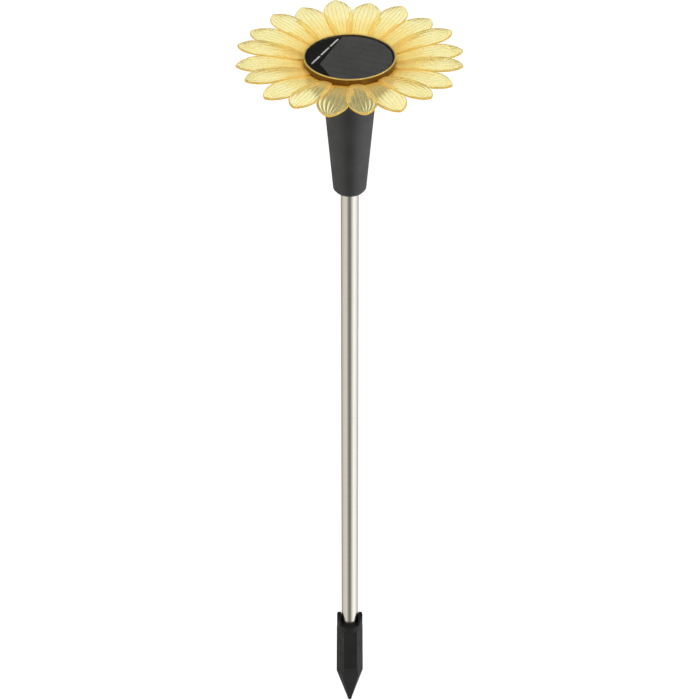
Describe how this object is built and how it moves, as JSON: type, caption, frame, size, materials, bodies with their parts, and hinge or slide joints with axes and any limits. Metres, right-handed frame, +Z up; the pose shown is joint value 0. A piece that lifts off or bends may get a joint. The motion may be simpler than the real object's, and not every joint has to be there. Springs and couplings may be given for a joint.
{
  "type": "solar garden light",
  "caption": "Flower-shaped solar light on a steel pole: amber petals round a solar panel disc, black cup and tapered handle, and a pointed ground spike.",
  "frame": {"origin": "tip of the ground spike, on the pole's axis", "axes": "+Z up the pole; -Y is the front, the side it is mostly seen from; +X to its right"},
  "size_m": [0.196, 0.196, 0.7524],
  "materials": {
    "spike_plastic": "semi-gloss moulded black plastic",
    "pole_steel": "brushed stainless tube",
    "joiner_steel": "plain steel insert",
    "bush_plastic": "matt black plastic",
    "housing_plastic": "matt dark grey-black moulded plastic",
    "seal_rubber": "soft black rubber",
    "petal_plastic": "clear amber moulded plastic",
    "board_black": "black backing board",
    "cell_silicon": "dark grey silicon",
    "ribbon_metal": "tinned solder ribbon",
    "panel_resin": "clear cast resin",
    "board_green": "green circuit board",
    "led_resin": "warm white lamp resin",
    "chip_black": "moulded chip body",
    "ferrite": "dark ferrite",
    "can_metal": "plain metal can",
    "switch_plastic": "black switch plastic",
    "screw_steel": "bright zinc screw",
    "sleeve_green": "plain green shrink sleeve",
    "contact_metal": "nickel-plated contact",
    "wire_red": "red wire sleeving",
    "wire_black": "black wire sleeving"
  },
  "bodies": {
    "spike": {"ground_spike": "spike_plastic"},
    "lower_pole": {"pole_lower_tube": "pole_steel", "pole_joiner": "joiner_steel"},
    "upper_pole": {"pole_upper_tube": "pole_steel"},
    "pole_cap": {"swivel_bush": "bush_plastic"},
    "handle": {"handle_shell": "housing_plastic"},
    "head": {"head_cup": "housing_plastic", "cup_gasket": "seal_rubber", "lower_petals": "petal_plastic", "upper_petals": "petal_plastic", "panel_carrier": "housing_plastic", "panel_board": "board_black", "solar_cell": "cell_silicon", "cell_ribbon": "ribbon_metal", "panel_lens": "panel_resin", "panel_seal": "seal_rubber", "circuit_board": "board_green", "leds": "led_resin", "driver_chip": "chip_black", "inductor": "ferrite", "capacitor": "can_metal", "resistors": "chip_black", "switch_body": "switch_plastic", "case_screws": "screw_steel", "battery_tube": "housing_plastic", "battery_cell": "can_metal", "battery_sleeve": "sleeve_green", "battery_plate": "contact_metal", "battery_spring": "contact_metal", "red_wires": "wire_red", "black_wires": "wire_black"},
    "switch": {"switch_knob": "switch_plastic"}
  },
  "joints": [
    {"name": "lower_pole_pull", "type": "slide", "parent": "spike", "child": "lower_pole", "axis": [0, 0, 1], "range_m": [0, 0.04]},
    {"name": "upper_pole_pull", "type": "slide", "parent": "lower_pole", "child": "upper_pole", "axis": [0, 0, 1], "range_m": [0, 0.036]},
    {"name": "handle_pull", "type": "slide", "parent": "upper_pole", "child": "pole_cap", "axis": [0, 0, 1], "range_m": [0, 0.038]},
    {"name": "handle_turn", "type": "hinge", "parent": "pole_cap", "child": "handle", "pos_m": [0, 0, 0.63], "axis": [0, 0, 1], "continuous": true},
    {"name": "head_lift", "type": "slide", "parent": "handle", "child": "head", "axis": [0, 0, 1], "range_m": [0, 0.062]},
    {"name": "switch_slide", "type": "slide", "parent": "head", "child": "switch", "axis": [1, 0, 0], "range_m": [0, 0.002]}
  ]
}
